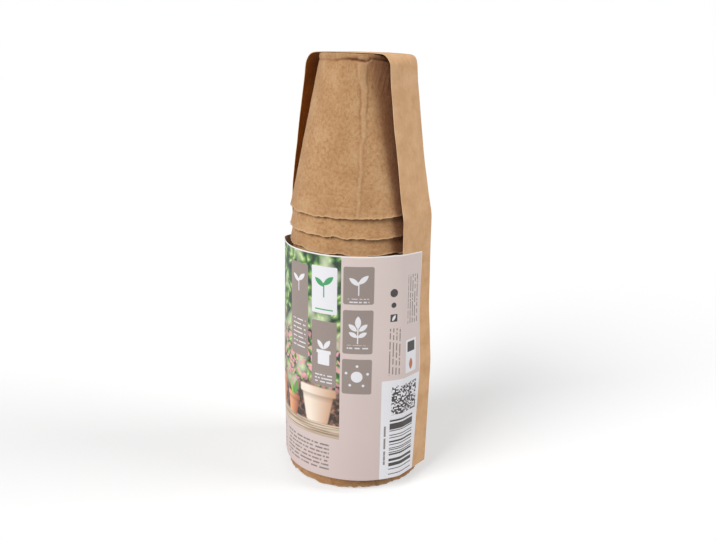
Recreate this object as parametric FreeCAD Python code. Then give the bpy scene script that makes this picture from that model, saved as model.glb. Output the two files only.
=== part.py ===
"""Nested wood-fibre plant pots, mouth down, held by a kraft strap and a paper label.

Lengths are in millimetres. +Z is up and the mouth of the lowest pot lies on z = 0. The strap's
two legs stand on the X axis and the label is wrapped round the -Y side. The origin is the middle
of the footprint, so the axis of the pots stands a little behind it.
"""

import FreeCAD
import Part
import math
import os

from FreeCAD import Placement, Rotation, Vector

# Pot, one moulded shape repeated
pot_count = 16
pot_height = 84.0
mouth_radius = 39.5
wall_taper_share = 0.2
wall_thickness = 1.4
base_thickness = 1.8
lip_height = 3.0
lip_flare = 0.5
drain_radius = 4.5

# Straight sides that stand for the round wall, within a tenth of a millimetre of it
wall_sides = 48

# Free space between one pot's wall and the next, square to the wall, with room for the seam
nest_clearance = 0.66

# Seam line that the mould leaves down the wall
seam_foot_width = 2.4
seam_crest_width = 0.9
seam_rise = 0.25
seam_root = 0.6
seam_start_share = 1 / 3

# Turn of each pot about the stack's axis, in degrees
top_pot_turn = -50.0
turn_step = 137.5

# Kraft strap, an arch over the top pot with a leg down each side
strap_width = 25.0
strap_thickness = 0.4
strap_clearance = 0.35
strap_end_height = 7.5
strap_flat_half = 10.0
strap_crown_rise = 0.9
strap_corner_offset = 5.4
strap_corner_bend = 7.5
strap_wall_bend = 60.0
strap_rim_bend = 24.0

# How far each leg stands off the top pot's wall, up the pot's height
loose_leg_gap = 5.2
snug_leg_gap = 2.6
leg_height_shares = (0.12, 0.3, 0.55, 0.85)
loose_leg_gap_shares = (0.52, 0.66, 0.82, 1.0)
snug_leg_gap_shares = (0.04, 0.12, 0.36, 0.96)
loose_leg_rim_gap = 1.6

# Printed label, wrapped round the front from one leg to the other, below the top pot's mouth
label_thickness = 0.3
label_front_gap = 3.4
label_top_drop = 18.2
label_end_past_middle = 3.0

# How far the paper bows clear of the rims, down the label's height
label_bow = 3.7
bow_height_shares = (1.0, 0.74, 0.49, 0.25, 0.0)
snug_bow_shares = (0.03, 0.24, 1.0, 0.86, 0.7)
loose_bow_shares = (0.45, 0.62, 1.0, 0.86, 0.7)

# Sizes that follow from the ones above
rim_radius = mouth_radius + lip_flare
base_radius = mouth_radius - pot_height * wall_taper_share
wall_angle = math.atan(wall_taper_share)
wall_across = wall_thickness / math.cos(wall_angle)
nest_pitch = (wall_thickness + nest_clearance) / math.sin(wall_angle)
top_pot_mouth = (pot_count - 1) * nest_pitch
stack_height = top_pot_mouth + pot_height
strap_seat_radius = rim_radius + strap_clearance + strap_thickness
label_height = top_pot_mouth - label_top_drop - strap_end_height
label_front_radius = rim_radius + label_front_gap
axis_behind_origin = (label_front_gap + label_thickness) / 2


def wall_radius(height):
    """Outside radius of a pot's wall at a height above its own mouth."""
    return mouth_radius - height * wall_taper_share


def cavity_radius(height):
    """Inside radius of a pot's wall at a height above its own mouth."""
    return wall_radius(height) - wall_across


def at_angle(radius, height, angle):
    """Point at a radius, height and angle round the pot's axis."""
    return Vector(radius * math.cos(angle), radius * math.sin(angle), height)


def flat_face(corners):
    """Flat face inside straight edges from corner to corner."""
    return Part.Face(Part.makePolygon(corners + corners[:1]))


def turned_solid(profile):
    """Solid that a closed (radius, height) profile sweeps round the pot's axis, in flat sides."""
    faces = []
    side_angle = 2 * math.pi / wall_sides
    for side in range(wall_sides):
        start = side * side_angle
        end = start + side_angle
        for lower, upper in zip(profile, profile[1:] + profile[:1]):
            foot = [at_angle(*lower, start), at_angle(*lower, end)]
            head = [at_angle(*upper, end), at_angle(*upper, start)]
            faces.append(flat_face(foot + head))
    shell = Part.makeShell(faces)
    shell.sewShape()
    return Part.makeSolid(shell).removeSplitter()


def make_pot_shell():
    """Tapered cup standing on its mouth, with a flared lip and a drain hole in its base."""
    base_inside = pot_height - base_thickness
    profile = [
        (rim_radius, 0),
        (wall_radius(lip_height), lip_height),
        (base_radius, pot_height),
        (drain_radius, pot_height),
        (drain_radius, base_inside),
        (cavity_radius(base_inside), base_inside),
        (cavity_radius(0), 0),
    ]
    return turned_solid(profile)


def seam_section(height):
    """Cross-section of the seam at a height above the mouth, rooted in the wall."""
    root = wall_radius(height) - seam_root
    crest = wall_radius(height) + seam_rise
    corners = [
        Vector(root, -seam_foot_width / 2, height),
        Vector(crest, -seam_crest_width / 2, height),
        Vector(crest, seam_crest_width / 2, height),
        Vector(root, seam_foot_width / 2, height),
    ]
    return Part.makePolygon(corners + corners[:1])


def make_pot():
    """One pot: the shell with its mould seam on the +X side."""
    seam_start = lip_height * seam_start_share
    seam = Part.makeLoft([seam_section(seam_start), seam_section(pot_height)], True, True)
    return make_pot_shell().fuse(seam).removeSplitter()


def stacked_pots():
    """All pots in place, the top one first, each turned by its own angle."""
    pot = make_pot()
    pots = []
    for index in range(pot_count):
        placed = pot.copy()
        mouth_height = top_pot_mouth - index * nest_pitch
        turn = Rotation(Vector(0, 0, 1), top_pot_turn + index * turn_step)
        placed.Placement = Placement(Vector(0, axis_behind_origin, mouth_height), turn)
        pots.append(placed)
    return pots


def leg_route(gap, gap_shares, rim_gap, bow_shares):
    """Outer face of a strap leg as (distance, height, bend radius), from its end up to its top."""
    route = []
    for height_share, bow_share in reversed(list(zip(bow_height_shares, bow_shares))):
        distance = strap_seat_radius + label_bow * bow_share
        route.append((distance, strap_end_height + label_height * height_share, 0))
    route.append((strap_seat_radius + rim_gap, top_pot_mouth, strap_rim_bend))
    for height_share, gap_share in zip(leg_height_shares, gap_shares):
        height = pot_height * height_share
        seat = wall_radius(height) + strap_clearance + strap_thickness
        route.append((seat + gap * gap_share, top_pot_mouth + height, strap_wall_bend))
    return route


def strap_route():
    """Outer face of the strap, from the loose leg's end over the top to the snug leg's end."""
    flat_height = stack_height + strap_clearance + strap_thickness
    loose_leg = leg_route(loose_leg_gap, loose_leg_gap_shares, loose_leg_rim_gap, loose_bow_shares)
    snug_leg = leg_route(snug_leg_gap, snug_leg_gap_shares, 0, snug_bow_shares)
    corner_height = flat_height + strap_crown_rise
    snug_corner = base_radius + strap_corner_offset
    loose_corner = snug_corner + (loose_leg_gap - snug_leg_gap)
    points = [(-distance, height, bend) for distance, height, bend in loose_leg]
    points.append((-loose_corner, corner_height, strap_corner_bend))
    points.append((-strap_flat_half, flat_height, strap_wall_bend))
    points.append((strap_flat_half, flat_height, strap_wall_bend))
    points.append((snug_corner, corner_height, strap_corner_bend))
    points.extend(reversed(snug_leg))
    return points


def bent_edges(points):
    """Straight edges through (x, z, bend radius) points, with tangent arcs at the bends."""
    edges = []
    here = Vector(points[0][0], 0, points[0][1])
    for index in range(1, len(points) - 1):
        corner = Vector(points[index][0], 0, points[index][1])
        following = Vector(points[index + 1][0], 0, points[index + 1][1])
        inward = (here - corner).normalize()
        onward = (following - corner).normalize()
        turn = math.pi - inward.getAngle(onward)
        reach = points[index][2] * math.tan(turn / 2)
        if reach == 0:
            edges.append(Part.makeLine(here, corner))
            here = corner
            continue
        start = corner + inward * reach
        end = corner + onward * reach
        sagitta = points[index][2] * (1 / math.cos(turn / 2) - 1)
        middle = corner + (inward + onward).normalize() * sagitta
        edges.append(Part.makeLine(here, start))
        edges.append(Part.Arc(start, middle, end).toShape())
        here = end
    edges.append(Part.makeLine(here, Vector(points[-1][0], 0, points[-1][1])))
    return edges


def inward_normal(here, following):
    """Direction square to the run from one (x, z, bend radius) point to the next, inwards."""
    run = Vector(following[0] - here[0], 0, following[1] - here[1]).normalize()
    return Vector(run.z, 0, -run.x)


def inner_face(points):
    """The strap's outer face moved in by its thickness, with its bends' radii to suit."""
    normals = [inward_normal(here, following) for here, following in zip(points, points[1:])]
    moved = []
    for index, (x, z, bend) in enumerate(points):
        before = normals[max(index - 1, 0)]
        after = normals[min(index, len(normals) - 1)]
        shift = (before + after) * (strap_thickness / (1 + before.dot(after)))
        turns_inward = before.cross(after).y > 0
        change = -strap_thickness if turns_inward else strap_thickness
        moved.append((x + shift.x, z + shift.z, bend + change if bend else bend))
    return moved


def make_strap():
    """Thin arch: its outer and inner faces closed at the ends and drawn out to its width."""
    route = strap_route()
    outer = bent_edges(route)
    inner = bent_edges(inner_face(route)[::-1])
    ends = []
    for edges, following in ((outer, inner), (inner, outer)):
        ends.append(Part.makeLine(edges[-1].Vertexes[-1].Point, following[0].Vertexes[0].Point))
    section = Part.Face(Part.Wire(outer + ends[:1] + inner + ends[1:]))
    strap = section.extrude(Vector(0, strap_width, 0))
    strap.translate(Vector(0, axis_behind_origin - strap_width / 2, 0))
    return strap


def arc_through(left, right, front_radius):
    """Centre height and radius of the circle through two side points and the front of the label."""
    half_span = (right - left) / 2
    side = -strap_width / 2
    front = -front_radius
    centre = (front**2 - side**2 - half_span**2) / (2 * (front - side))
    return centre, centre - front


def label_edge(left, right, front_radius, radius_change, span_change):
    """One face of the label in plan: a flat stretch on each leg, an arc round the front between."""
    centre_x = (left + right) / 2
    centre_y, radius = arc_through(left, right, front_radius)
    arc_radius = radius + radius_change
    half_span = (right - left) / 2 + span_change
    meeting = centre_y - math.sqrt(arc_radius**2 - half_span**2)
    return {
        "left end": (centre_x - half_span, label_end_past_middle),
        "left crease": (centre_x - half_span, meeting),
        "front": (centre_x, centre_y - arc_radius),
        "right crease": (centre_x + half_span, meeting),
        "right end": (centre_x + half_span, label_end_past_middle),
    }


def label_section(left, right, height):
    """Closed outline of the label's thickness at one height."""
    inner = label_edge(left, right, label_front_radius, 0, 0)
    outer = label_edge(left, right, label_front_radius, label_thickness, label_thickness)

    def at(point):
        return Vector(point[0], point[1], height)

    edges = [
        Part.makeLine(at(inner["left end"]), at(inner["left crease"])),
        Part.Arc(at(inner["left crease"]), at(inner["front"]), at(inner["right crease"])).toShape(),
        Part.makeLine(at(inner["right crease"]), at(inner["right end"])),
        Part.makeLine(at(inner["right end"]), at(outer["right end"])),
        Part.makeLine(at(outer["right end"]), at(outer["right crease"])),
        Part.Arc(at(outer["right crease"]), at(outer["front"]), at(outer["left crease"])).toShape(),
        Part.makeLine(at(outer["left crease"]), at(outer["left end"])),
        Part.makeLine(at(outer["left end"]), at(inner["left end"])),
    ]
    return Part.Wire(edges)


def make_label():
    """Paper band lofted through its outlines, lying on the strap's outer face at both ends."""
    sections = []
    rows = zip(bow_height_shares, loose_bow_shares, snug_bow_shares)
    for height_share, loose_share, snug_share in rows:
        left = -(strap_seat_radius + label_bow * loose_share)
        right = strap_seat_radius + label_bow * snug_share
        sections.append(label_section(left, right, strap_end_height + label_height * height_share))
    label = Part.makeLoft(sections, True, True)
    label.translate(Vector(0, axis_behind_origin, 0))
    return label


def main():
    """Write every piece to its own STEP file."""
    os.makedirs("parts", exist_ok=True)
    pieces = {"kraft_strap": make_strap(), "printed_label": make_label()}
    for number, pot in enumerate(stacked_pots(), start=1):
        pieces[f"pot_{number:02d}"] = pot
    for name, shape in pieces.items():
        shape.exportStep(f"parts/{name}.step")
        print(name, "valid" if shape.isValid() else "NOT VALID", round(shape.Volume, 1))
    print("nest pitch", round(nest_pitch, 2), "stack height", round(stack_height, 2))


main()
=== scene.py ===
"""Nested wood-fibre plant pots, mouth down, in a kraft strap and a printed paper label.

Lengths are in millimetres until a mesh is made. +Z is up, the strap's legs stand on the X axis and
the label is wrapped round the -Y side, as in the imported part.
"""

import math

import bpy
import numpy as np
from mathutils import Matrix, Vector


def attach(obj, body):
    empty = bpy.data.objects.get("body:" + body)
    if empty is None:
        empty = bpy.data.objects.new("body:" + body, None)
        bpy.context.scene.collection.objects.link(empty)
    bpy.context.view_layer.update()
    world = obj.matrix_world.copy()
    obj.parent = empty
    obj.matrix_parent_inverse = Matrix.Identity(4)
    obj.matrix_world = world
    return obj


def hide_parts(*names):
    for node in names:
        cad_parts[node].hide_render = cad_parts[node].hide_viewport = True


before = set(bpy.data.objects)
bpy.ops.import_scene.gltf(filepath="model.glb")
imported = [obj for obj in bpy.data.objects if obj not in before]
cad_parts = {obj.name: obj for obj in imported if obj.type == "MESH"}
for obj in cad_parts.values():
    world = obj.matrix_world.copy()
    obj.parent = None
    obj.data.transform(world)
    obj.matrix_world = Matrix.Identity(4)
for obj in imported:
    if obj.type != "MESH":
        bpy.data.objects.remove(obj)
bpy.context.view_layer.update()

MM = 0.001

# Pots
POT_COUNT = 16
POT_HEIGHT = 83.5
MOUTH_RADIUS = 39.5
TAPER = 0.2
WALL = 1.43
BASE_INSIDE = 81.7
BASE_RADIUS = 23.5
BASE_ROUNDING = 1.3
DRAIN_RADIUS = 4.5
LIP_HEIGHT = 4.2
LIP_RISE = 0.1
TORN_POT = 3
TORN_LIP_RISE = 1.3
LOOSE_FIBRES = 110
NEST_PITCH = 10.504
TOP_POT_MOUTH = NEST_PITCH * (POT_COUNT - 1)
AXIS_Y = 1.85
TOP_POT_TURN = -50.0
TURN_STEP = 137.5
STACK_LEAN = np.array([-0.9, -0.75])

# Mould seam: heights above the mouth with the seam's place, its half width and its folds' depths,
# then the wrinkles beside it by the arc and height of each end
SEAM_LINE = ((0, 11, 36, 46, 60, 80), (-1.6, -0.8, 0.3, 1.1, 1.05, 0.0))
SEAM_HALF_WIDTH = ((0, 38, 47, 60, 80), (0.75, 0.75, 1.3, 1.4, 2.5))
LEFT_FOLD = ((3, 24, 47, 53, 66, 71, 80), (0.4, 0.45, 0.5, 1, 1, 0.45, 0.25))
RIGHT_FOLD = ((3, 20, 34, 49, 54, 66, 71, 80), (0.3, 0.5, 0.2, 0.35, 1, 1, 0.55, 0.4))
WRINKLES = (
    (4.7, 70, 6.8, 79), (7.2, 69, 10.2, 79), (8.0, 66, 11.6, 77), (9.0, 62, 11.2, 70),
    (10.5, 70, 14.5, 79), (12.5, 63, 15.0, 73), (-3.0, 72, -4.4, 79), (3.8, 64, 5.2, 70),
)

# Crease below the base's edge: arcs from the seam, with its height and its share of depth
CREASE_HEIGHT = (
    (-20, -14.7, -10.9, -7.4, -4, -0.8, 1.9, 4.2, 5.7, 13.3, 20),
    (79.9, 79.8, 80.5, 80.8, 80.5, 80.0, 79.6, 80.9, 80.9, 79.8, 79.9),
)
CREASE_DEPTH = ((-26, -18, -13, -9, 16, 26), (0.3, 0.35, 0.8, 1.15, 1.3, 0.6))
CREASE_WIDTH = 0.62

# Chip on the crease: arc from the seam and height, length and width
CHIP_PLACE = (4.0, 80.5)
CHIP_LENGTH = 2.3
CHIP_WIDTH = 0.8

# Strap and label
STRAP_WIDTH = 25.0
STRAP_THICKNESS = 0.3
STRAP_END = 7.5
LABEL_TOP = 139.36
LABEL_THICKNESS = 0.3
LABEL_FRONT = 43.4
LABEL_END = STRAP_END + 0.5
LABEL_PAST_MIDDLE = 3.0
LABEL_RIGHT_END = (-0.7, 4.2)
LABEL_DROP_FROM = 60
LABEL_RIGHT_DROP = 1.5
LABEL_LEFT_DROP = 3.6
LABEL_PRESSED = 1.3
LABEL_PRESSED_TURN = -135

# Outer face of each leg as (height, distance from the axis)
LEG_FOOT = ((STRAP_END, 43.29), (40.5, 43.88), (72.1, 44.4))
SNUG_LEG = LEG_FOOT + (
    (105.1, 41.59), (139.4, 40.81), (157.6, 40.7), (167.6, 38.29), (182.8, 35.47),
    (203.8, 31.9), (229.0, 28.42),
)
LOOSE_LEG = LEG_FOOT + (
    (105.1, 42.6), (139.4, 41.4), (157.6, 42.1), (167.6, 41.6), (182.8, 39.6),
    (203.8, 36.3), (229.0, 32.0),
)
SNUG_CORNER = 28.1
LOOSE_CORNER = 30.9
# Painted shade on the felt beside the snug leg: its width by height, and its darkness
STRAP_SHADE_WIDTH = ((150, 215, 240), (2.6, 3.8, 6.0))
STRAP_SHADE_DARKNESS = 0.7
LEG_FREE_HEIGHT = 150
LEG_CURL = 0.45
LEG_TWIST = 1.2
CROWN_SAG = 0.2
CORNER_HEIGHT = 241.2
CROWN_HEIGHT = 241.6
CROWN_HALF = 17.9
LOOSE_BEND = 8.5
SNUG_BEND = 5.5
LEG_BEND = 40.0

# Sizes of the finishes' patterns: length and width of fibres and flecks, width and length of the
# kraft grain, and width of clumps, clouds, pits and fuzz. Single fibres, flecks and print dots are
# too fine to show, and are drawn as coarse as they need to be. Then the felt pattern's radius round
# a pot and its shift from pot to pot
FELT_FIBRE = (4.5, 0.5)
FELT_CLUMP = 1.9
FELT_CLOUD = 15
FELT_PIT_PITCH = 3.1
FELT_RADIUS = 33
FELT_SHIFT = (431.0, 57.0)
KRAFT_GRAIN = (0.9, 26)
KRAFT_FLECK = (2.6, 0.3)
LABEL_FLECK = (2.0, 0.3)
PAPER_CLOUD = 9
CORE_FUZZ = 0.4
DOTS_PER_MM = 3.0

FLOOR_HALF = 4000

# Camera: place, turn, tilt down, roll and lens
CAMERA_PLACE = (279.5, -332.2, 247.4)
CAMERA_TURN = 40.0
CAMERA_TILT = 16.36
CAMERA_ROLL = 1.05
CAMERA_LENS = 39.27


# Colours and nodes


def srgb(code):
    """Linear colour of an sRGB hex value."""
    channels = [int(code[place : place + 2], 16) / 255 for place in (1, 3, 5)]
    linear = [c / 12.92 if c <= 0.04045 else ((c + 0.055) / 1.055) ** 2.4 for c in channels]
    return (*linear, 1.0)


def add(tree, kind, sockets=None, stops=(), **settings):
    """Adds one shader node, with its settings, colour stops, and sockets' values or links.

    A node that is given for a socket is linked from its first output.
    """
    node = tree.nodes.new("ShaderNode" + kind)
    for name, value in settings.items():
        setattr(node, name, value)
    for name, value in (sockets or {}).items():
        if isinstance(value, bpy.types.Node):
            value = value.outputs[0]
        if isinstance(value, bpy.types.NodeSocket):
            tree.links.new(value, node.inputs[name])
        else:
            node.inputs[name].default_value = value
    for index, (place, colour) in enumerate(stops):
        ramp = node.color_ramp.elements
        stop = ramp[index] if index < 2 else ramp.new(place)
        stop.position = place
        stop.color = srgb(colour)
    return node


def new_finish(name):
    """An empty material with its tree."""
    material = bpy.data.materials.new(name)
    material.use_nodes = True
    material.node_tree.nodes.clear()
    return material, material.node_tree


def layered(tree, under, layers):
    """A colour with others laid over it in turn, each by its own share from 0 to 1."""
    for share, colour in layers:
        if isinstance(colour, str):
            colour = srgb(colour)
        mix = add(tree, "Mix", {0: share, 6: under, 7: colour}, data_type="RGBA")
        under = mix.outputs[2]
    return under


def close_finish(tree, colour, roughness, relief, **sockets):
    """Joins the colour, roughness and relief to the surface shader.

    The relief is its height, its strength and its depth in millimetres.
    """
    height, strength, depth = relief
    bump = add(tree, "Bump", {"Height": height, "Strength": strength, "Distance": depth * MM})
    values = {"Base Color": colour, "Roughness": roughness, "Normal": bump}
    values.update({name.replace("_", " "): value for name, value in sockets.items()})
    shader = add(tree, "BsdfPrincipled", values)
    add(tree, "OutputMaterial", {"Surface": shader})


def fibre_streaks(tree, place, length, width, angles):
    """Short crossed streaks, 0 to 1, as of fibres of a length and width in millimetres."""
    streaks = 0.0
    for index, angle in enumerate(angles):
        turned = add(tree, "Mapping", {
            "Vector": place,
            "Location": (index * 37.0, index * 11.0, 0),
            "Rotation": (0, 0, math.radians(angle)),
        })
        drawn = add(tree, "Mapping", {"Vector": turned, "Scale": (1 / length, 1 / width, 1)})
        noise = add(tree, "TexNoise", {
            "Vector": drawn, "Scale": 1.0, "Detail": 1.0, "Distortion": 0.4,
        }, noise_dimensions="2D")
        sharp = add(tree, "MapRange", {0: noise, 1: 0.52, 2: 0.72})
        streaks = add(tree, "Math", {0: streaks, 1: sharp}, operation="MAXIMUM")
    return streaks


# Finishes


def wood_fibre_felt():
    """Moulded wood fibre: felted, matt and brown, with crossed fibres and pits, pale torn fibres, a
    painted highlight on the seam's ridge and painted shade.
    """
    material, tree = new_finish("moulded_wood_fibre_felt")
    place = add(tree, "UVMap", uv_map="felt_mm")
    fibres = fibre_streaks(tree, place, *FELT_FIBRE, (8, 63, 118, 151))
    clumps = add(tree, "TexNoise", {
        "Vector": place, "Scale": 1 / FELT_CLUMP, "Detail": 4.0, "Roughness": 0.6,
    }, noise_dimensions="2D")
    clouds = add(tree, "TexNoise", {
        "Vector": place, "Scale": 1 / FELT_CLOUD, "Detail": 3.0,
    }, noise_dimensions="2D")
    pits = add(tree, "TexVoronoi", {
        "Vector": place, "Scale": 1 / FELT_PIT_PITCH, "Randomness": 1.0,
    }, voronoi_dimensions="2D").outputs["Distance"]
    felt = add(tree, "ValToRGB", {0: clumps}, stops=(
        (0.26, "#9F7249"), (0.44, "#B2865B"), (0.56, "#B88D62"), (0.76, "#C2996E"),
    ))
    for amount, low, high, shade in (
        (clouds, 0.48, 0.74, "#A2744A"),
        (clouds, 0.48, 0.26, "#C8A278"),
        (fibres, 0.0, 3.2, "#D6B48B"),
    ):
        share = add(tree, "MapRange", {0: amount, 1: low, 2: high, 4: 0.5})
        felt = layered(tree, felt, [(share, shade)])
    speck = add(tree, "MapRange", {0: pits, 1: 0.13, 2: 0.02, 4: 0.34})
    torn_and_highlight = add(tree, "Attribute", attribute_name="torn_and_highlight").outputs["Fac"]
    painted_shade = add(tree, "Attribute", attribute_name="painted_shade").outputs["Fac"]
    # Dark specks; pale torn fibres, with a painted highlight on the seam's ridge; painted shade in
    # creases, folds, beside the strap and near the floor
    felt = layered(tree, felt, [(speck, "#80573A"), (torn_and_highlight, "#D2AC83"), (painted_shade, "#6C3413")])
    height = add(tree, "Math", {0: clumps, 1: 1.6, 2: fibres}, operation="MULTIPLY_ADD")
    close_finish(tree, felt, 0.95, (height, 0.8, 0.08), Specular_IOR_Level=0.2,
                 Sheen_Weight=0.1, Sheen_Roughness=0.6)
    return material


def kraft_paper(name, light, middle, dark, fleck):
    """Unbleached kraft paper: smooth and matt, with faint long grain and pale fibre flecks."""
    material, tree = new_finish(name)
    place = add(tree, "UVMap", uv_map="paper_mm")
    grain = add(tree, "Mapping", {
        "Vector": place, "Scale": (1 / KRAFT_GRAIN[0], 1 / KRAFT_GRAIN[1], 1),
    })
    grain = add(tree, "TexNoise", {"Vector": grain, "Scale": 1.0, "Detail": 3.0},
                noise_dimensions="2D")
    clouds = add(tree, "TexNoise", {
        "Vector": place, "Scale": 1 / PAPER_CLOUD, "Detail": 4.0, "Roughness": 0.6,
    }, noise_dimensions="2D")
    tone = add(tree, "Math", {0: grain, 1: 0.3, 2: clouds}, operation="MULTIPLY_ADD")
    paper = add(tree, "ValToRGB", {0: tone}, stops=((0.4, dark), (0.65, middle), (0.9, light)))
    flecks = fibre_streaks(tree, place, *KRAFT_FLECK, (82, 21, 140))
    pale = add(tree, "Math", {0: flecks, 1: 0.12}, operation="MULTIPLY")
    paper = layered(tree, paper, [(pale, fleck)])
    height = add(tree, "Math", {0: grain, 1: 0.5, 2: flecks}, operation="MULTIPLY_ADD")
    close_finish(tree, paper, 0.82, (height, 0.35, 0.05), Specular_IOR_Level=0.3)
    return material


def paper_core():
    """Cut edge of paper: pale, rough and fibrous."""
    material, tree = new_finish("cut_paper_core")
    place = add(tree, "UVMap", uv_map="paper_mm")
    fuzz = add(tree, "TexNoise", {"Vector": place, "Scale": 1 / CORE_FUZZ, "Detail": 2.0})
    paper = add(tree, "ValToRGB", {0: fuzz}, stops=((0.3, "#DDD3CB"), (0.7, "#F7F3EE")))
    close_finish(tree, paper, 0.9, (fuzz, 0.4, 0.05))
    return material


def paper_back():
    """Unprinted back of the label: greyish white, with faint clouds and flecks."""
    material, tree = new_finish("unprinted_label_back")
    place = add(tree, "UVMap", uv_map="paper_mm")
    clouds = add(tree, "TexNoise", {"Vector": place, "Scale": 1 / PAPER_CLOUD, "Detail": 3.0})
    paper = add(tree, "ValToRGB", {0: clouds}, stops=((0.3, "#A89E9C"), (0.7, "#C6BDBA")))
    flecks = fibre_streaks(tree, place, *LABEL_FLECK, (15, 100))
    close_finish(tree, paper, 0.85, (flecks, 0.3, 0.04))
    return material


# Print on the label. Places are millimetres round the label from its front middle, and height

INK = {
    "taupe": "#94867F",
    "white": "#E6E5E9",
    "green": "#3E9A62",
    "grey": "#6E6561",
    "dark": "#3A3634",
    "leaf": "#6FA845",
    "clay": "#B76F4C",
}
SHAPE_BLUR = 0.08
PICTURE_CENTRE = (-40, 90)
PICTURE_HALF = (61, 57)
BENCH_TOP = 41
BAR_PITCH = 0.54
SQUARE = 0.8
MARGIN = 0.75
PRINT_RIGHT = 71.5


def panel_reach(tree, place, centre, half, corner):
    """Distance past the inner frame of a round-cornered panel, whose edge lies a corner away."""
    for operation, other in (
        ("SUBTRACT", (*centre, 0)), ("ABSOLUTE", (0, 0, 0)),
        ("SUBTRACT", (half[0] - corner, half[1] - corner, 1)), ("MAXIMUM", (0, 0, 0)),
    ):
        place = add(tree, "VectorMath", {0: place, 1: other}, operation=operation)
    return add(tree, "VectorMath", {0: place}, operation="LENGTH").outputs[1]


def disc_reach(tree, place, centre):
    """Distance from a disc's middle."""
    return add(tree, "VectorMath", {0: place, 1: (*centre, 0)}, operation="DISTANCE").outputs[1]


def leaf_reach(tree, place, centre, half, angle):
    """Reach of a pointed leaf at an angle in degrees, which is where two discs meet."""
    turn = math.radians(angle)
    shift = leaf_bend(half) - half[1]
    reaches = []
    for side in (-shift, shift):
        middle = (centre[0] - side * math.sin(turn), centre[1] + side * math.cos(turn))
        reaches.append(disc_reach(tree, place, middle))
    return add(tree, "Math", dict(enumerate(reaches)), operation="MAXIMUM")


def leaf_bend(half):
    """Radius of the discs that a leaf of half a length and half a width is cut from."""
    return (half[0] ** 2 + half[1] ** 2) / (2 * half[1])


def inked(tree, reach, edge, blur):
    """How much ink lies there, 0 to 1: full inside the edge and none beyond it."""
    return add(tree, "MapRange", {0: reach, 1: edge + blur, 2: edge - blur})


def printed_shapes():
    """Plain shapes of the label's print as (shape, ink, centre, half size, corner or angle)."""
    shapes = [
        ("panel", "taupe", (-6.6, 105.0), (7.4, 27.0), 1.2),
        ("panel", "white", (11.2, 119.5), (7.7, 13.2), 0.8),
        ("panel", "taupe", (11.2, 83.0), (7.7, 19.0), 1.2),
        ("panel", "taupe", (30.4, 123.5), (8.2, 10.4), 1.2),
        ("panel", "taupe", (30.4, 97.5), (8.2, 12.4), 1.2),
        ("panel", "taupe", (30.4, 71.8), (8.2, 10.2), 1.2),
        ("panel", "white", (59.4, 38.4), (15.1, 30.6), 0.6),
    ]
    shapes += sprout("white", (-6.6, 121.0), 1.0)
    shapes += sprout("green", (11.2, 121.5), 1.15)
    shapes += sprout("white", (30.4, 123.6), 1.05)
    shapes += [
        ("panel", "green", (11.2, 108.6), (5.4, 0.35), 0.1),
        ("panel", "white", (30.4, 95.3), (0.3, 4.4), 0.1),
        ("leaf", "white", (30.4, 103.0), (3.6, 1.6), 90),
        ("leaf", "white", (27.6, 100.0), (3.0, 1.3), 140),
        ("leaf", "white", (33.2, 100.0), (3.0, 1.3), 40),
        ("leaf", "white", (27.9, 96.0), (2.7, 1.2), 150),
        ("leaf", "white", (32.9, 96.0), (2.7, 1.2), 30),
        ("disc", "white", (30.4, 71.8), 3.2, None),
        ("panel", "white", (11.2, 80.0), (3.6, 3.4), 0.5),
        ("panel", "white", (11.2, 84.2), (4.4, 1.0), 0.3),
        ("leaf", "white", (9.2, 88.2), (3.2, 1.3), 125),
        ("leaf", "white", (13.2, 88.6), (3.4, 1.3), 55),
        ("disc", "dark", (50.0, 118.6), 2.3, None),
        ("disc", "dark", (50.0, 111.8), 1.5, None),
        ("panel", "dark", (50.2, 104.6), (2.1, 2.1), 0.3),
        ("leaf", "white", (50.2, 104.6), (1.9, 0.8), 60),
        ("panel", "white", (63.4, 81.0), (4.6, 9.6), 0.8),
        ("panel", "dark", (63.4, 86.4), (3.2, 2.9), 0.5),
        ("leaf", "clay", (63.4, 76.2), (3.4, 1.5), 90),
    ]
    petals = 5
    for petal in range(petals):
        turn = petal * 1.257 + 0.3
        centre = (30.4 + 6.2 * math.cos(turn), 71.8 + 6.2 * math.sin(turn))
        shapes.append(("disc", "white", centre, 0.75, None))
    return shapes


def sprout(ink, centre, size):
    """A stem with two leaves, as plain shapes."""
    x, z = centre
    stem = ("panel", ink, (x, z - 1.6 * size), (0.3 * size, 3.6 * size), 0.1)
    left = ("leaf", ink, (x - 2.3 * size, z + 2.0 * size), (3.2 * size, 1.25 * size), 142)
    right = ("leaf", ink, (x + 2.3 * size, z + 3.0 * size), (3.4 * size, 1.3 * size), 42)
    return [stem, left, right]


def ruled_block(tree, place, axes, ink_under, centre, half, pitch, weight, ink, seed):
    """A block of short broken rules."""
    across, along = axes
    rows = add(tree, "Math", {0: along, 1: pitch}, operation="DIVIDE")
    share = add(tree, "Math", {0: rows}, operation="FRACT")
    row = add(tree, "Math", {0: rows}, operation="FLOOR")
    line = add(tree, "Math", {0: share, 1: weight}, operation="LESS_THAN")
    step = add(tree, "Math", {0: row, 1: 7.31, 2: seed}, operation="MULTIPLY_ADD")
    dashes = add(tree, "Math", {0: across, 1: 0.5, 2: step}, operation="MULTIPLY_ADD")
    gaps = add(tree, "TexNoise", {"W": dashes, "Scale": 1.0, "Detail": 2.0}, noise_dimensions="1D")
    dash = add(tree, "Math", {0: gaps, 1: 0.43}, operation="GREATER_THAN")
    amount = inked(tree, panel_reach(tree, place, centre, half, 0.3), 0.3, 0.05)
    for part in (line, dash, 0.85):
        amount = add(tree, "Math", {0: amount, 1: part}, operation="MULTIPLY")
    return layered(tree, ink_under, [(amount, INK[ink])])


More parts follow.
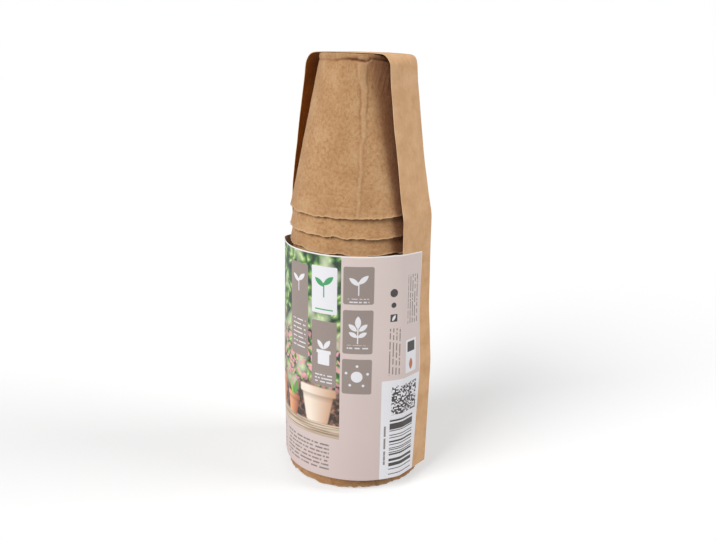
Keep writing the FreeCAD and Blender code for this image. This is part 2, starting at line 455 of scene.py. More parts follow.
def printed_pot(tree, place, ink_under, centre, size, light, dark):
    """Soft picture of a tapered plant pot, pale on one side and shaded on the other."""
    local = add(tree, "Mapping", {
        "Vector": place, "Location": (-centre[0] / size, -centre[1] / size, 0),
        "Scale": (1 / size, 1 / size, 1),
    })
    sides = add(tree, "SeparateXYZ", {0: local}).outputs
    widening = add(tree, "Math", {0: sides[1], 1: 0.032, 2: 1.0}, operation="MULTIPLY_ADD")
    across = add(tree, "Math", {0: sides[0], 1: widening}, operation="DIVIDE")
    tapered = add(tree, "CombineXYZ", {0: across, 1: sides[1]})
    turned = add(tree, "MapRange", {0: across, 1: -3.5, 2: 6.5})
    clay = layered(tree, srgb(light), [(turned, dark)])
    under_rim = add(tree, "MapRange", {0: sides[1], 1: 2.0, 2: 4.6, 4: 0.45})
    shaded = layered(tree, clay, [(under_rim, "#5A3323")])
    body = panel_reach(tree, tapered, (0, -0.5), (6.2, 6.5), 0.9)
    rim = panel_reach(tree, local, (0, 6.2), (8.3, 1.7), 0.8)
    return layered(tree, ink_under, [
        (inked(tree, body, 0.9, 0.35), shaded), (inked(tree, rim, 0.8, 0.35), clay),
    ])


def garden_picture(tree, place, height):
    """Soft picture of a potting bench: leaves and blossom behind, pots and soil in front."""
    bent = add(tree, "TexNoise", {"Vector": place, "Scale": 1 / 9, "Detail": 2.0},
               noise_dimensions="2D").outputs[1]
    bent = add(tree, "VectorMath", {0: bent, 1: (9, 9, 0), 2: place}, operation="MULTIPLY_ADD")
    leaves = add(tree, "TexVoronoi", {
        "Vector": bent, "Scale": 1 / 5.5, "Smoothness": 0.25,
    }, voronoi_dimensions="2D", feature="SMOOTH_F1").outputs["Distance"]
    picture = add(tree, "ValToRGB", {0: leaves}, stops=(
        (0.04, "#D3DDA6"), (0.2, "#86AD58"), (0.4, "#42713C"), (0.62, "#1B3220"),
    ))
    haze, clods = (
        add(tree, "TexNoise", {"Vector": place, "Scale": 1 / size, "Detail": detail},
            noise_dimensions="2D")
        for size, detail in ((17, 1.5), (4, 5.0))
    )
    petals = add(tree, "TexVoronoi", {"Vector": bent, "Scale": 1 / 3.6},
                 voronoi_dimensions="2D").outputs["Distance"]
    soil = add(tree, "ValToRGB", {0: clods}, stops=(
        (0.32, "#1D1512"), (0.5, "#3D2A22"), (0.62, "#75513F"), (0.76, "#B58A74"),
    ))
    glow = add(tree, "MapRange", {0: haze, 1: 0.52, 2: 0.7, 4: 0.75})
    edge = add(tree, "Math", {0: haze, 1: 24.0, 2: height}, operation="MULTIPLY_ADD")
    low = add(tree, "MapRange", {0: edge, 1: 80, 2: 68})
    middle = add(tree, "MapRange", {0: edge, 1: 112, 2: 98})
    blossom = add(tree, "Math", {0: inked(tree, petals, 0.34, 0.1), 1: middle},
                  operation="MULTIPLY")
    grain = add(tree, "Mapping", {"Vector": place, "Scale": (1 / 30, 1 / 0.8, 1)})
    boards = add(tree, "TexNoise", {"Vector": grain, "Scale": 1.0}, noise_dimensions="2D")
    bench = add(tree, "ValToRGB", {0: boards}, stops=((0.35, "#8F7560"), (0.65, "#D8C6B0")))
    picture = layered(tree, picture, [
        (glow, "#DDE8C2"), (blossom, "#E7A3AC"), (low, soil),
        (inked(tree, height, BENCH_TOP, 0.5), bench),
    ])
    for centre, size, light, dark in (
        ((-52, 55), 1.7, "#EDBB95", "#A65F3D"), ((7, 51), 1.45, "#F3E4D2", "#C99C7C"),
        ((-33, 49), 1.25, "#F0B68C", "#B4683F"), ((-13, 46), 0.85, "#E9A67C", "#9A5534"),
    ):
        picture = printed_pot(tree, place, picture, centre, size, light, dark)
    leaf_half = (5.5, 1.7)
    for centre, angle, shade in (
        ((-36, 63), 120, "#7DB04C"), ((-30, 64), 62, "#A5CC6A"), ((-33, 66), 92, "#4F8F3C"),
        ((-15, 56), 110, "#8FBF57"), ((-10, 57), 70, "#5C9A41"),
    ):
        reach = leaf_reach(tree, place, centre, leaf_half, angle)
        picture = layered(tree, picture, [(inked(tree, reach, leaf_bend(leaf_half), 0.3), shade)])
    return picture


def offset_print():
    """Offset-printed label paper: pinkish beige ink with a slight satin, and its shapes."""
    material, tree = new_finish("offset_printed_paper")
    place = add(tree, "UVMap", uv_map="paper_mm")
    across, height, _ = add(tree, "SeparateXYZ", {0: place}).outputs
    window = panel_reach(tree, place, PICTURE_CENTRE, PICTURE_HALF, 0.3)
    # The beige turns darker towards the bottom
    ink = layered(tree, srgb("#D8C8C3"), [
        (inked(tree, height, 60, 60), "#CBB8B4"),
        (inked(tree, window, 0.3, SHAPE_BLUR), garden_picture(tree, place, height)),
    ])
    for shape, name, centre, half, last in printed_shapes():
        if shape == "panel":
            reach, edge = panel_reach(tree, place, centre, half, last), last
        elif shape == "disc":
            reach, edge = disc_reach(tree, place, centre), half
        else:
            reach, edge = leaf_reach(tree, place, centre, half, last), leaf_bend(half)
        ink = layered(tree, ink, [(inked(tree, reach, edge, SHAPE_BLUR), INK[name])])
    level = (across, height)
    upright = (height, across)
    blocks = (
        (level, (-6.6, 91.0), (5.4, 9.5), 2.6, 0.3, "white"),
        (level, (30.4, 88.6), (5.8, 1.6), 2.0, 0.4, "white"),
        (level, (30.4, 115.2), (5.8, 1.2), 2.0, 0.4, "white"),
        (level, (11.2, 69.0), (5.4, 3.0), 2.0, 0.4, "white"),
        (level, (-2.0, 20.0), (17.0, 8.6), 2.5, 0.42, "grey"),
        (level, (-44.0, 20.0), (20.0, 8.6), 2.5, 0.42, "grey"),
        (upright, (64.8, 113.5), (4.6, 14.0), 2.0, 0.34, "grey"),
        (upright, (50.9, 85.4), (4.2, 13.4), 2.0, 0.34, "grey"),
        (upright, (46.9, 29.0), (0.8, 13.0), 1.85, 0.6, "grey"),
    )
    for seed, (axes, centre, half, pitch, weight, name) in enumerate(blocks):
        ink = ruled_block(tree, place, axes, ink, centre, half, pitch, weight, name, seed * 3.7)
    ink = random_bars(tree, place, height, ink)
    top_margin = LABEL_TOP - MARGIN
    margins = [
        add(tree, "MapRange", {0: height, 1: top_margin, 2: top_margin + 0.2}),
        add(tree, "MapRange", {0: across, 1: PRINT_RIGHT, 2: PRINT_RIGHT + 0.3}),
    ]
    dots = add(tree, "TexNoise", {"Vector": place, "Scale": DOTS_PER_MM, "Detail": 1.0},
               noise_dimensions="2D")
    flecks = add(tree, "MapRange", {0: dots, 1: 0.4, 2: 0.7, 4: 0.05})
    ink = layered(tree, ink, [(margin, "#F2EEEC") for margin in margins] + [(flecks, "#FFFFFF")])
    close_finish(tree, ink, 0.5, (dots, 0.25, 0.03), Specular_IOR_Level=0.4)
    return material


def random_bars(tree, place, height, ink):
    """Random dark bars and random dark squares, which carry no message, on the white panel."""
    step = add(tree, "Math", {0: height, 1: 1 / BAR_PITCH}, operation="MULTIPLY")
    step = add(tree, "Math", {0: step}, operation="FLOOR")
    bars = add(tree, "TexWhiteNoise", {"W": step}, noise_dimensions="1D")
    cell = add(tree, "VectorMath", {0: place, 1: (1 / SQUARE, 1 / SQUARE, 1)}, operation="MULTIPLY")
    cell = add(tree, "VectorMath", {0: cell}, operation="FLOOR")
    squares = add(tree, "TexWhiteNoise", {"Vector": cell}, noise_dimensions="2D")
    areas = ((bars, (58.2, 27.6), (8.6, 17.8)), (squares, (59.6, 56.6), (9.4, 8.8)))
    for pattern, centre, half in areas:
        area = inked(tree, panel_reach(tree, place, centre, half, 0.1), 0.1, 0.04)
        dark = add(tree, "Math", {0: pattern, 1: 0.45}, operation="GREATER_THAN")
        amount = add(tree, "Math", {0: area, 1: dark}, operation="MULTIPLY")
        ink = layered(tree, ink, [(amount, INK["dark"])])
    return ink


# Meshes


def grid_faces(rows, columns, closed, first=0):
    """Corner numbers of a grid's four-sided faces, joined end to end where the grid is closed."""
    steps = [np.arange(count if closed else count - 1) for count in (rows, columns)]
    i, j = np.meshgrid(*steps, indexing="ij")
    after_i = (i + 1) % rows
    after_j = (j + 1) % columns
    faces = np.stack([i * columns + j, i * columns + after_j,
                      after_i * columns + after_j, after_i * columns + j], axis=-1)
    return faces.reshape(-1, 4) + first


def grid_layout(layout):
    """Flat coordinates of a closed grid's face corners; the layout repeats its first row last."""
    corners = (layout[:-1, :-1], layout[:-1, 1:], layout[1:, 1:], layout[1:, :-1])
    return np.stack(corners, axis=-2).reshape(-1, 2)


def new_piece(name, points, faces, layout_name, layout, finishes, face_finish=None):
    """A mesh object from points in millimetres, with its flat coordinates and finishes."""
    mesh = bpy.data.meshes.new(name)
    mesh.from_pydata((points * MM).tolist(), [], faces)
    flat = mesh.uv_layers.new(name=layout_name)
    flat.data.foreach_set("uv", np.asarray(layout, np.float32).ravel())
    for finish in finishes:
        mesh.materials.append(finish)
    if face_finish is not None:
        mesh.polygons.foreach_set("material_index", np.asarray(face_finish, np.int32))
    mesh.polygons.foreach_set("use_smooth", np.ones(len(faces), bool))
    mesh.update()
    piece = bpy.data.objects.new(name, mesh)
    bpy.context.scene.collection.objects.link(piece)
    return piece


def lumps(rng, across, along, cells_across, cells_along):
    """Smooth random lumps, -1 to 1, over shares across (which closes on itself) and along."""
    lattice = rng.uniform(-1, 1, (cells_along + 2, cells_across))
    x = np.asarray(across) * cells_across
    y = np.clip(np.asarray(along), 0, 1) * cells_along
    left = np.floor(x).astype(int)
    low = np.floor(y).astype(int)
    ease_x = (x - left) ** 2 * (3 - 2 * (x - left))
    ease_y = (y - low) ** 2 * (3 - 2 * (y - low))
    left %= cells_across
    right = (left + 1) % cells_across
    bottom, top = (lattice[row, left] * (1 - ease_x) + lattice[row, right] * ease_x
                   for row in (low, low + 1))
    return bottom * (1 - ease_y) + top * ease_y


def round_lumps(rng, share, cells):
    """Smooth random lumps, -1 to 1, that change only round the pot."""
    return lumps(rng, share, 0 * share, cells, 1)


def ridge(distance, width):
    """Height share of a rounded ridge, 1 on its line."""
    return np.exp(-((distance / width) ** 2))


# Pots


def seam_relief(arc, height, strength, rng):
    """Ridge that the mould's joint leaves, painted shade in the folds beside it, and the share of
    its ridge top that is painted paler as a highlight.

    The wavy ridge is narrow above the mouth and broad higher up, with a fold on each side, and a
    fan of wrinkles runs from it to the base's edge.
    """
    band_line = np.interp(height, *SEAM_LINE)
    band_line = band_line + 0.32 * np.sin(height / 3.1) + 0.2 * np.sin(height / 1.3 + 1)
    half_band = np.interp(height, *SEAM_HALF_WIDTH)
    away = arc - band_line
    ridge_top = 0.5 * (1 + np.tanh((half_band - np.abs(away)) / 0.35))
    relief = 0.6 * ridge_top
    left_fold = np.interp(height, *LEFT_FOLD) * ridge(away + half_band + 0.4, 0.65)
    right_fold = np.interp(height, *RIGHT_FOLD) * ridge(away - half_band - 0.4, 0.65)
    up_the_seam = (height / 90) % 1
    patches, other_patches = (0.5 + 0.5 * round_lumps(rng, up_the_seam, cells)
                              for cells in (19, 23))
    folds = left_fold * (0.55 + 0.45 * patches) + 0.75 * right_fold * (0.3 + 0.7 * other_patches)
    for low_arc, low, high_arc, high in WRINKLES:
        shift = rng.uniform(-0.5, 0.5)
        share = np.clip((height - low) / (high - low), 0, 1)
        line = low_arc + (high_arc - low_arc) * share + shift
        fade = np.clip((height - low) / 3, 0, 1) * np.clip((high + 1 - height) / 3, 0, 1)
        fade = fade * (0.35 + 0.65 * other_patches)
        relief += 0.28 * fade * ridge(arc - line, 0.6)
        folds += 0.45 * fade * ridge(arc - line - 0.8, 0.45)
    # Painted shade in the folds and beside the wrinkles
    dark = 0.54 * strength * np.clip(folds, 0, 1)
    return strength * (relief - 0.3 * folds), dark, ridge_top * (0.35 + 0.65 * patches)


def crease_line(share, rng):
    """Height and depth of the crease below the base's edge, round the pot."""
    arc = ((share + 0.5) % 1 - 0.5) * 2 * np.pi * BASE_RADIUS
    level = np.interp(arc, *CREASE_HEIGHT)
    level += 0.15 * round_lumps(rng, share, 45) + 0.08 * round_lumps(rng, share, 130)
    depth = 0.85 + 0.3 * round_lumps(rng, share, 15) + 0.2 * round_lumps(rng, share, 60)
    depth *= np.interp(arc, *CREASE_DEPTH)
    return level, np.clip(depth, 0.05, 1.1)


def chipped(arc, height):
    """How much of the chip on the crease lies there, 0 to 1."""
    x = arc - CHIP_PLACE[0]
    y = height - CHIP_PLACE[1]
    reach = np.hypot((0.88 * x + 0.48 * y) / CHIP_LENGTH, (0.88 * y - 0.48 * x) / CHIP_WIDTH)
    return ridge(reach, 1) * (height > 70)


def lip_edge(rng, share, low):
    """Height of the torn lip's lower edge above the mouth, round the pot."""
    edge = low
    for height, cells in ((0.5, 16), (0.6, 53), (0.45, 140)):
        edge = edge + height * np.abs(round_lumps(rng, share, cells))
    notches = 7
    for _ in range(notches):
        middle = rng.uniform(0, 1)
        width = rng.uniform(0.01, 0.03)
        away = (share - middle + 0.5) % 1 - 0.5
        edge += rng.uniform(0.4, 1.1) * np.clip(1 - np.abs(away) / width, 0, 1) ** 0.8
    return edge


def pot_profile(fine):
    """Rows of the pot's section from the lip up outside, over the base and down inside.

    Each row is (part of the pot, height or share, radius); the wall's radius is worked out.
    """
    rows = [("lip", share, 0) for share in (0.0, 0.05, 0.13, 0.25, 0.45, 0.7, 1.0)]
    wall = [*np.arange(5.4, 14, 1.4), *np.arange(15, 78.4, 1.3 if fine else 3.9)]
    wall += [79, 79.4, 79.8, 80.2, 80.5, 80.8, 81.1, 81.5, 81.9]
    rows += [("wall", height, 0) for height in wall]
    flat_radius = BASE_RADIUS - BASE_ROUNDING
    for step in range(1, 6):
        turn = math.radians(18 * step)
        rows.append(("base", POT_HEIGHT - BASE_ROUNDING * (1 - math.sin(turn)),
                     flat_radius + BASE_ROUNDING * math.cos(turn)))
    for radius in (20.6, 18.4, 16, 13, 10, 7.6, 5.8, 5.0):
        rows.append(("base", POT_HEIGHT - 0.06 * (1 - (radius / flat_radius) ** 2), radius))
    rows += [("base", 82.8, DRAIN_RADIUS), ("base", 82.1, DRAIN_RADIUS)]
    rows += [("inside", BASE_INSIDE, radius) for radius in (5.1, 8, 12, 16, 19, 20.7)]
    rows += [("inside", 81.1, 21.5)]
    for height in (*np.arange(79, 8, -5.2), 6.0, 4.0):
        rows.append(("inside", height, MOUTH_RADIUS - TAPER * height - WALL))
    return rows + [("inner lip", share, 0) for share in (0.55, 0.2, 0.0)]


def pot_surface(rng, fine, columns, turn, lip_rise):
    """Points of a pot standing at the origin, how pale each one is from torn fibres and painted
    highlight, and how much painted shade it has.
    """
    share = np.arange(columns) / columns
    angle = 2 * np.pi * share
    edge = lip_edge(rng, share, lip_rise)
    flare = 0.25 + 0.22 * round_lumps(rng, share, 16) + 0.1 * round_lumps(rng, share, 58)
    crease, crease_depth = crease_line(share, rng)
    oval = 0.16 * np.cos(2 * (angle + turn))
    rows = pot_profile(fine)
    size = (len(rows), columns)
    radius, height, torn_and_highlight, painted_shade = (np.zeros(size) for _ in range(4))
    for index, (part, level, row_radius) in enumerate(rows):
        height[index] = level
        radius[index] = row_radius
        if part == "wall":
            cut = crease_depth * ridge(level - crease, CREASE_WIDTH)
            radius[index] = max(MOUTH_RADIUS - TAPER * level, BASE_RADIUS) - cut
            # Painted shade in the crease, as strong as the crease is deep
            painted_shade[index] = np.clip(cut, 0, 0.8)
        elif part in ("lip", "inner lip"):
            height[index] = edge + (LIP_HEIGHT - edge) * level
            inward = 0 if part == "lip" else 0.75 + 0.65 * level
            out = flare * (1 - level) ** 2
            radius[index] = MOUTH_RADIUS - TAPER * height[index] + out - inward
            torn_and_highlight[index] = np.clip(1 - (height[index] - edge) / 0.9, 0, 1)
    outside = np.array([part in ("lip", "wall") for part, _, _ in rows])[:, None]
    base = np.array([part == "base" for part, _, _ in rows])[:, None]
    along = height / POT_HEIGHT
    felt = 0.09 * lumps(rng, share, along, 44, 16) + 0.05 * lumps(rng, share, along, 120, 44)
    arc = ((share + 0.5) % 1 - 0.5) * 2 * np.pi * radius
    swell, folds, ridge_top = seam_relief(arc, height, rng.uniform(0.8, 1.0), rng)
    fade = outside * np.clip(height / 3, 0, 1)
    # Painted shade in the seam's folds and beside its wrinkles, added to the crease's
    painted_shade = np.clip(painted_shade + folds * fade, 0, 1)
    chip = chipped(arc, height)
    # Pale torn fibres at the lip and the chip, and a painted highlight on the seam's ridge top
    torn_and_highlight = np.clip(torn_and_highlight + chip + 0.4 * ridge_top * fade, 0, 1)
    painted_shade = painted_shade * (1 - chip)
    radius += 0.6 * chip
    radius += outside * felt + swell * fade + ~base * oval
    height += base * felt * np.clip((radius - DRAIN_RADIUS) / 3, 0, 1)
    points = np.stack([radius * np.cos(angle), radius * np.sin(angle), height], axis=-1)
    return points, torn_and_highlight, painted_shade, share


def felt_layout(points, share, seed):
    """Flat coordinates for the felt: millimetres round the pot and along its section."""
    closed = np.concatenate([points, points[:1]])
    steps = np.linalg.norm(np.diff(closed, axis=0), axis=2).mean(axis=1)
    along = np.concatenate([[0], np.cumsum(steps)])
    around = np.concatenate([share, [1.0]]) * 2 * np.pi * FELT_RADIUS
    shift_around, shift_along = (seed * shift for shift in FELT_SHIFT)
    return np.stack(np.meshgrid(around + shift_around, along + shift_along), axis=-1)


def loose_fibres(rng, points, count):
    """Short tapered fibres that stand out of the torn lip, as points and faces of their own."""
    corners = []
    faces = []
    columns = points.shape[1]
    for _ in range(count):
        column = rng.integers(columns)
        root = points[0, column] + (points[1, column] - points[0, column]) * rng.uniform(0, 1)
        outward = np.array([root[0], root[1], 0.0])
        outward /= np.linalg.norm(outward)
        sideways = np.array([-outward[1], outward[0], 0.0])
        lean = rng.uniform(-1, 1)
        way = sideways * lean + outward * rng.uniform(0.1, 0.5)
        way[2] += rng.uniform(-0.5, 0.4)
        way /= np.linalg.norm(way)
        length = rng.uniform(0.5, 1.5)
        side = np.cross(way, outward)
        side /= np.linalg.norm(side)
        other = np.cross(way, side)
        first = len(corners)
        for step, half in ((0.0, 0.07), (0.55, 0.05)):
            middle = root + way * length * step + np.array([0, 0, 0.12]) * step
            for turn in (0, 2.094, 4.189):
                corners.append(middle + half * (side * math.cos(turn) + other * math.sin(turn)))
        corners.append(root + way * length)
        for k in range(3):
            after = (k + 1) % 3
            faces.append([first + k, first + after, first + 3 + after, first + 3 + k])
            faces.append([first + 3 + k, first + 3 + after, first + 6])
    corners = np.array(corners)
    corners[:, 2] = np.maximum(corners[:, 2], 0.05)
    return corners, faces


def beside_strap(points):
    """How far the points lie past the strap's near or far edge."""
    return np.clip(np.abs(points[:, 1] - AXIS_Y) - STRAP_WIDTH / 2, 0, None)


def pressed_by_strap(points):
    """The top pot's points, with the base's edge pushed down where the strap bends over it."""
    run = strap_run()
    crown = run[(run[:, 1] > 232) & (np.abs(run[:, 0]) < SNUG_CORNER)]
    face = np.interp(points[:, 0], crown[:, 0], crown[:, 1]) - STRAP_THICKNESS - 0.55
    face += 0.5 * beside_strap(points) ** 2
    under = (points[:, 2] > 236) & (points[:, 0] > 10)
    pressed = points.copy()
    pressed[under, 2] = np.minimum(points[under, 2], face[under])
    return pressed


def painted_strap_shade(points):
    """Painted shade on the felt under the snug leg and beside its edges, where the strap shades the
    pot.
    """
    shade_by_strap = STRAP_SHADE_DARKNESS * ridge(beside_strap(points), np.interp(points[:, 2], *STRAP_SHADE_WIDTH))
    on_snug_side = np.clip(points[:, 0] / 12, 0, 1)
    return shade_by_strap * on_snug_side * (points[:, 2] > LABEL_TOP)


def make_pot(number, finish):
    """One moulded pot in its place in the stack."""
    rng = np.random.default_rng(700 + number)
    fine = number == 1
    columns = 432 if fine else 264
    turn = math.radians(TOP_POT_TURN + (number - 1) * TURN_STEP)
    lip_rise = TORN_LIP_RISE if number == TORN_POT else LIP_RISE
    points, torn_and_highlight, painted_shade, share = pot_surface(rng, fine, columns, turn, lip_rise)
    if number == POT_COUNT:
        # Painted shade on the bottom pot, darker towards the floor, with darker streaks at random
        # places round it
        dark_streaks = sum(ridge(share - place, 0.0025) for place in rng.uniform(0, 1, 14))
        near_floor = np.clip(1 - points[..., 2] / 6, 0, 1)
        painted_shade = np.clip(painted_shade + near_floor * (0.42 + 0.5 * dark_streaks), 0, 0.95)
    rows = len(points)
    layout = grid_layout(felt_layout(points, share, number))
    faces = grid_faces(rows, columns, True).tolist()
    fibres, fibre_faces = loose_fibres(rng, points, LOOSE_FIBRES)
    first = rows * columns
    faces += [[corner + first for corner in face] for face in fibre_faces]
    fibre_corners = sum(len(face) for face in fibre_faces)
    layout = np.concatenate([layout, rng.uniform(0, 60, (fibre_corners, 2))])
    flat_points = np.concatenate([points.reshape(-1, 3), fibres])
    flat_points = flat_points @ np.array(Matrix.Rotation(turn, 3, "Z")).T
    lean = STACK_LEAN * (number - 1) / (POT_COUNT - 1)
    flat_points += np.array([lean[0], AXIS_Y + lean[1], TOP_POT_MOUTH - (number - 1) * NEST_PITCH])
    if number == 1:
        flat_points = pressed_by_strap(flat_points)
    # Painted shade on the pots above the label, beside the snug leg's edges
    shade_by_strap = painted_strap_shade(flat_points[:first]).reshape(rows, columns)
    painted_shade = np.maximum(painted_shade, shade_by_strap)
    piece = new_piece(f"fibre_pot_{number:02d}", flat_points, faces, "felt_mm", layout, [finish])
    for name, amount, rest in (("torn_and_highlight", torn_and_highlight, 0.7), ("painted_shade", painted_shade, 0.0)):
        values = np.concatenate([amount.ravel(), np.full(len(fibres), rest)]).astype(np.float32)
        piece.data.attributes.new(name, "FLOAT", "POINT").data.foreach_set("value", values)
    node = f"pot_{number:02d}"
    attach(piece, node)
    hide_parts(node)


# Paper


def eased(values, reach):
    """A run of points smoothed over a number of neighbours, with its ends kept."""
    kernel = np.hanning(2 * reach + 3)[1:-1]
    kernel /= kernel.sum()
    padded = np.concatenate([2 * values[:1] - values[reach:0:-1], values,
                             2 * values[-1:] - values[-2 : -reach - 2 : -1]])
    return np.stack([np.convolve(column, kernel, "valid") for column in padded.T], axis=1)


def run_length(points):
    """Length along a run of points, at each of them."""
    steps = np.linalg.norm(np.diff(points, axis=0), axis=1)
    return np.concatenate([[0], np.cumsum(steps)])


def points_along(points, places):
    """Points at given lengths along a run of straight lines."""
    along = run_length(points)
    return np.stack([np.interp(places, along, column) for column in points.T], axis=1)


def even_run(points, spacing):
    """Points at an even spacing along a run of straight lines."""
    length = run_length(points)[-1]
    return points_along(points, np.linspace(0, length, int(length / spacing) + 1))


def bent_corner(before, corner, after, bend):
    """Points of a tangent arc that rounds a corner."""
    inward = (before - corner) / np.linalg.norm(before - corner)
    onward = (after - corner) / np.linalg.norm(after - corner)
    turn = math.pi - math.acos(float(np.clip(inward @ onward, -1, 1)))
    reach = bend * math.tan(turn / 2)
    start = corner + inward * reach
    end = corner + onward * reach
    shares = np.linspace(0, 1, 9)[:, None]
    return (1 - shares) ** 2 * start + 2 * shares * (1 - shares) * corner + shares**2 * end


def half_strap(side, leg, corner, bend):
    """A leg and its half of the crown as (place across, height, bend), from the leg's end up."""
    half = [(side * distance, height, 0) for height, distance in leg]
    half[-1] = (*half[-1][:2], LEG_BEND)
    half.append((side * corner, CORNER_HEIGHT, bend))
    return half + [(side * CROWN_HALF, CROWN_HEIGHT, LEG_BEND)]


def strap_run():
    """Outer face of the strap in the XZ plane, from the loose leg's end over to the snug leg's."""
    corners = half_strap(-1, LOOSE_LEG, LOOSE_CORNER, LOOSE_BEND)
    corners += half_strap(1, SNUG_LEG, SNUG_CORNER, SNUG_BEND)[::-1]
    run = [np.array([corners[0][:2]])]
    for before, corner, after in zip(corners, corners[1:], corners[2:]):
        places = [np.array(place[:2], float) for place in (before, corner, after)]
        run.append(bent_corner(*places, corner[2]) if corner[2] else places[1][None, :])
    run.append(np.array([corners[-1][:2]]))
    return eased(even_run(np.concatenate(run), 1.0), 4)


def paper_piece(name, front, thickness, layout, finishes):
    """A sheet of paper from its front face's points, with a back face and cut edges."""
    down = np.gradient(front, axis=0)
    over = np.gradient(front, axis=1)
    inward = np.cross(over, down)
    inward /= np.linalg.norm(inward, axis=2)[..., None]
    back = front + inward * thickness
    rows, columns = front.shape[:2]
    count = rows * columns
    front_faces = grid_faces(rows, columns, False)[:, ::-1]
    back_faces = grid_faces(rows, columns, False, count)
    numbers = np.arange(count).reshape(rows, columns)
    rim = np.concatenate([numbers[0, :-1], numbers[:-1, -1], numbers[-1, :0:-1], numbers[:0:-1, 0]])
    after = np.roll(rim, -1)
    edge_faces = np.stack([rim, after, after + count, rim + count], axis=-1)
    faces = np.concatenate([front_faces, back_faces, edge_faces])
    flat = layout.reshape(-1, 2)
    corner_layout = np.concatenate([flat, flat])[faces.ravel()]
    finish = [0] * len(front_faces) + [1] * len(back_faces) + [2] * len(edge_faces)
    points = np.concatenate([front.reshape(-1, 3), back.reshape(-1, 3)])
    piece = new_piece(name, points, faces.tolist(), "paper_mm", corner_layout, finishes, finish)
    piece.data.set_sharp_from_angle(angle=math.radians(40))
    return piece


def make_strap(finishes):
    """Kraft strap over the stack, with its edges curled a little and its face gently rippled."""
    rng = np.random.default_rng(31)
    run = strap_run()
    tangent = np.gradient(run, axis=0)
    tangent /= np.linalg.norm(tangent, axis=1)[:, None]
    outward = np.stack([-tangent[:, 1], tangent[:, 0]], axis=1)
    along = run_length(run)
    across = np.linspace(-1, 1, 27)
    place = np.meshgrid((across + 1) / 2 * 0.45, along / along[-1])
    ripple = 0.16 * lumps(rng, *place, 7, 26) + 0.07 * lumps(rng, *place, 16, 80)
    height = run[:, 1]
    free = np.clip((height - LEG_FREE_HEIGHT) / 40, 0, 1)
    free *= np.clip((CORNER_HEIGHT - height) / 3, 0, 1)
    curl = -LEG_CURL * free[:, None] * across[None, :] ** 2
    sag = np.clip((run[:, 0] - 8) / 12, 0, 1) * np.clip((height - 225) / 14, 0, 1)
    sag = CROWN_SAG * sag[:, None] * (1 + across[None, :])
    twist = np.interp(height, (160, 185, 236, 240), (0, 1, 1, 0)) * (run[:, 0] > 0)
    twist = LEG_TWIST / 2 * twist[:, None] * (1 - across[None, :])
    offset = ripple * free[:, None] + curl - sag + twist
    layout = np.stack(np.meshgrid(across * STRAP_WIDTH / 2, along), axis=-1)
    front = np.stack([run[:, :1] + outward[:, :1] * offset, AXIS_Y + layout[..., 0],
                      run[:, 1:] + outward[:, 1:] * offset], axis=-1)
    piece = paper_piece("kraft_carrying_strap", front, STRAP_THICKNESS, layout, finishes)
    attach(piece, "paper_wrap")
    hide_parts("kraft_strap")


def label_plan(left, right, front, right_end):
    """The label's face in plan: along one leg, round the front and along the other leg."""
    side = -STRAP_WIDTH / 2
    half_span = (right - left) / 2
    middle = (left + right) / 2
    centre = (front**2 - side**2 - half_span**2) / (2 * (-front - side))
    radius = centre + front
    swing = math.asin(half_span / radius)
    if side > centre:
        swing = math.pi - swing
    turns = np.linspace(-swing, swing, 90)
    arc = np.stack([middle + radius * np.sin(turns), centre - radius * np.cos(turns)], axis=1)
    run = np.concatenate([[[left, LABEL_PAST_MIDDLE]], arc, [[right, right_end]]])
    return eased(even_run(run, 0.8), 3)


def make_label(finishes):
    """Printed paper round the front, over the strap's legs, with its top left edge flared."""
    heights = np.concatenate([np.linspace(LABEL_END, 134, 52), np.linspace(135, LABEL_TOP, 6)])
    columns = 190
    over_leg = LABEL_THICKNESS + 0.1
    front = np.empty((len(heights), columns, 3))
    layout = np.empty((len(heights), columns, 2))
    for row, height in enumerate(heights):
        near = height + np.array([-9, -4.5, 0, 4.5, 9])
        right = np.interp(near, *np.transpose(SNUG_LEG)).mean() + over_leg
        left = -np.interp(near, *np.transpose(LOOSE_LEG)).mean() - over_leg
        right_end = np.interp(height, (STRAP_END, LABEL_TOP), LABEL_RIGHT_END)
        plan = label_plan(left, right, LABEL_FRONT + LABEL_THICKNESS, right_end)
        width = run_length(plan)[-1]
        places = np.linspace(0, width, columns)
        plan = points_along(plan, places)
        past = places - np.interp(0, plan[:, 0], places)
        outward = plan / np.linalg.norm(plan, axis=1)[:, None]
        wave = 0.22 * lumps(np.random.default_rng(58), places / width * 0.9,
                            0 * places + height / 150, 9, 6)
        flare = 0.016 * max(height - 132, 0) ** 1.6 * np.clip((-plan[:, 0] - 6) / 30, 0, 1)
        turn = np.degrees(np.arctan2(plan[:, 1], plan[:, 0]))
        offset = (wave + flare) * np.clip((-8 - plan[:, 1]) / 12, 0, 1)
        offset -= LABEL_PRESSED * ridge(turn - LABEL_PRESSED_TURN, 20)
        drop = LABEL_RIGHT_DROP * np.clip((past - 50) / 22, 0, 1)
        drop += LABEL_LEFT_DROP * np.clip((-34 - past) / 24, 0, 1)
        front[row, :, :2] = plan + outward * offset[:, None]
        front[row, :, 1] += AXIS_Y
        front[row, :, 2] = height - drop * np.clip((height - LABEL_DROP_FROM) / 70, 0, 1)
        layout[row, :, 0] = past
        layout[row, :, 1] = height
    piece = paper_piece("printed_paper_label", front[::-1], LABEL_THICKNESS, layout[::-1], finishes)
    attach(piece, "paper_wrap")
    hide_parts("printed_label")


# Studio


def seen_straight(tree):
    """1 for rays from the camera, also by way of a shine or a clear body, and 0 for the rest."""
    rays = add(tree, "LightPath").outputs
    amount = rays["Is Camera Ray"]
    for other in ("Is Glossy Ray", "Is Transmission Ray"):
        amount = add(tree, "Math", {0: amount, 1: rays[other]}, operation="MAXIMUM")
    return amount


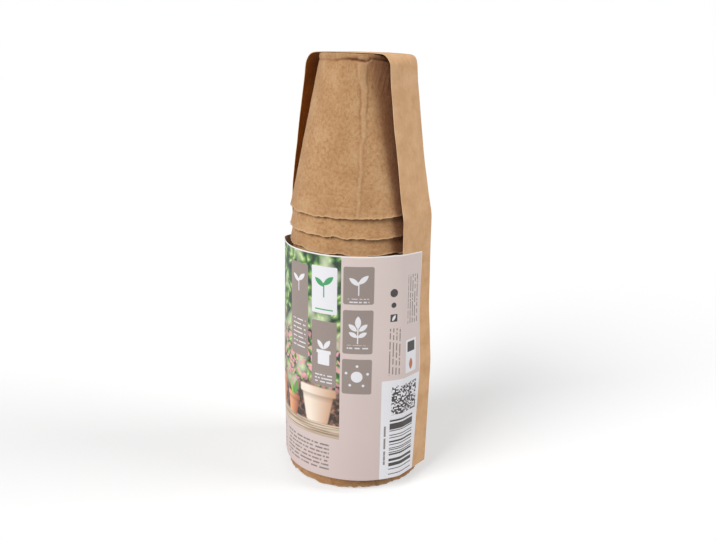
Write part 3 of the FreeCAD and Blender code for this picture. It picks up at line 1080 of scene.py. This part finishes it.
def studio_floor():
    """Plain pale floor that reaches white under the lamps and keeps the stack's shadow."""
    material, tree = new_finish("pale_studio_floor")
    place = add(tree, "TexCoord").outputs["Object"]
    grain = add(tree, "TexNoise", {"Vector": place, "Scale": 900.0, "Detail": 2.0})
    colour = add(tree, "ValToRGB", {0: grain}, stops=((0.3, "#C4C4C4"), (0.7, "#CACACA")))
    surface = add(tree, "BsdfDiffuse", {"Color": colour})
    glow = add(tree, "Emission", {"Color": (1, 1, 1, 1), "Strength": 0.45})
    both = add(tree, "AddShader", {0: surface, 1: glow})
    mixed = add(tree, "MixShader", {0: seen_straight(tree), 1: surface, 2: both})
    add(tree, "OutputMaterial", {"Surface": mixed})
    x, y = np.meshgrid(*[np.linspace(-FLOOR_HALF, FLOOR_HALF, 9)] * 2)
    points = np.stack([x, y, np.zeros_like(x)], axis=-1).reshape(-1, 3)
    faces = grid_faces(9, 9, False)
    layout = points[:, :2][faces.ravel()]
    floor = new_piece("studio_floor", points, faces.tolist(), "floor_mm", layout, [material])


def far_lamp(name, turn, height, softness, strength):
    """A wide soft lamp far away, at a turn round the stack and a height, both in degrees."""
    light = bpy.data.lights.new(name, "SUN")
    light.angle = math.radians(softness)
    light.energy = strength
    turn, height = math.radians(turn), math.radians(height)
    way = Vector((math.cos(height) * math.cos(turn), math.cos(height) * math.sin(turn),
                  math.sin(height)))
    lamp = bpy.data.objects.new(name, light)
    lamp.rotation_euler = (-way).to_track_quat("-Z", "Y").to_euler()
    bpy.context.scene.collection.objects.link(lamp)


def studio_light():
    """White surroundings and two soft lamps, one in front to the left and one at the right side."""
    world = bpy.data.worlds.new("white_surroundings")
    world.use_nodes = True
    tree = world.node_tree
    tree.nodes.clear()
    level = add(tree, "MapRange", {0: seen_straight(tree), 3: 0.18, 4: 1.0})
    backdrop = add(tree, "Background", {"Color": (1, 1, 1, 1), "Strength": level})
    add(tree, "OutputWorld", {"Surface": backdrop})
    bpy.context.scene.world = world
    far_lamp("left_soft_lamp", turn=-96, height=36, softness=36, strength=2.9)
    far_lamp("right_soft_lamp", turn=35, height=28, softness=30, strength=1.75)


def set_camera():
    """Camera in front of the stack on its right, a little above it."""
    data = bpy.data.cameras.new("stack_camera")
    data.lens = CAMERA_LENS
    data.sensor_width = 36
    data.sensor_fit = "HORIZONTAL"
    data.clip_start = 0.01
    camera = bpy.data.objects.new("stack_camera", data)
    view = Matrix.Translation(Vector(CAMERA_PLACE) * MM)
    for angle, axis in ((CAMERA_TURN, "Z"), (90 - CAMERA_TILT, "X"), (CAMERA_ROLL, "Z")):
        view = view @ Matrix.Rotation(math.radians(angle), 4, axis)
    camera.matrix_world = view
    bpy.context.scene.collection.objects.link(camera)
    bpy.context.scene.camera = camera


def main():
    """Builds the stack and its studio."""
    set_camera()
    felt = wood_fibre_felt()
    for number in range(1, POT_COUNT + 1):
        make_pot(number, felt)
    kraft = kraft_paper("unbleached_kraft_paper", "#DCB187", "#D3A77B", "#C89A6E", "#E8CEA8")
    # The strap's inner face is a darker, browner copy of the kraft: painted shade and brown bounce
    # light
    inner = kraft_paper("shaded_kraft_inner_face", "#A3641C", "#945510", "#824708", "#B17A30")
    edge = kraft_paper("kraft_paper_cut_edge", "#E3C7A2", "#D8B78F", "#C8A47A", "#EFDCC0")
    make_strap([kraft, inner, edge])
    make_label([offset_print(), paper_back(), paper_core()])
    studio_floor()
    studio_light()
    bpy.context.scene.view_settings.view_transform = "Standard"


main()
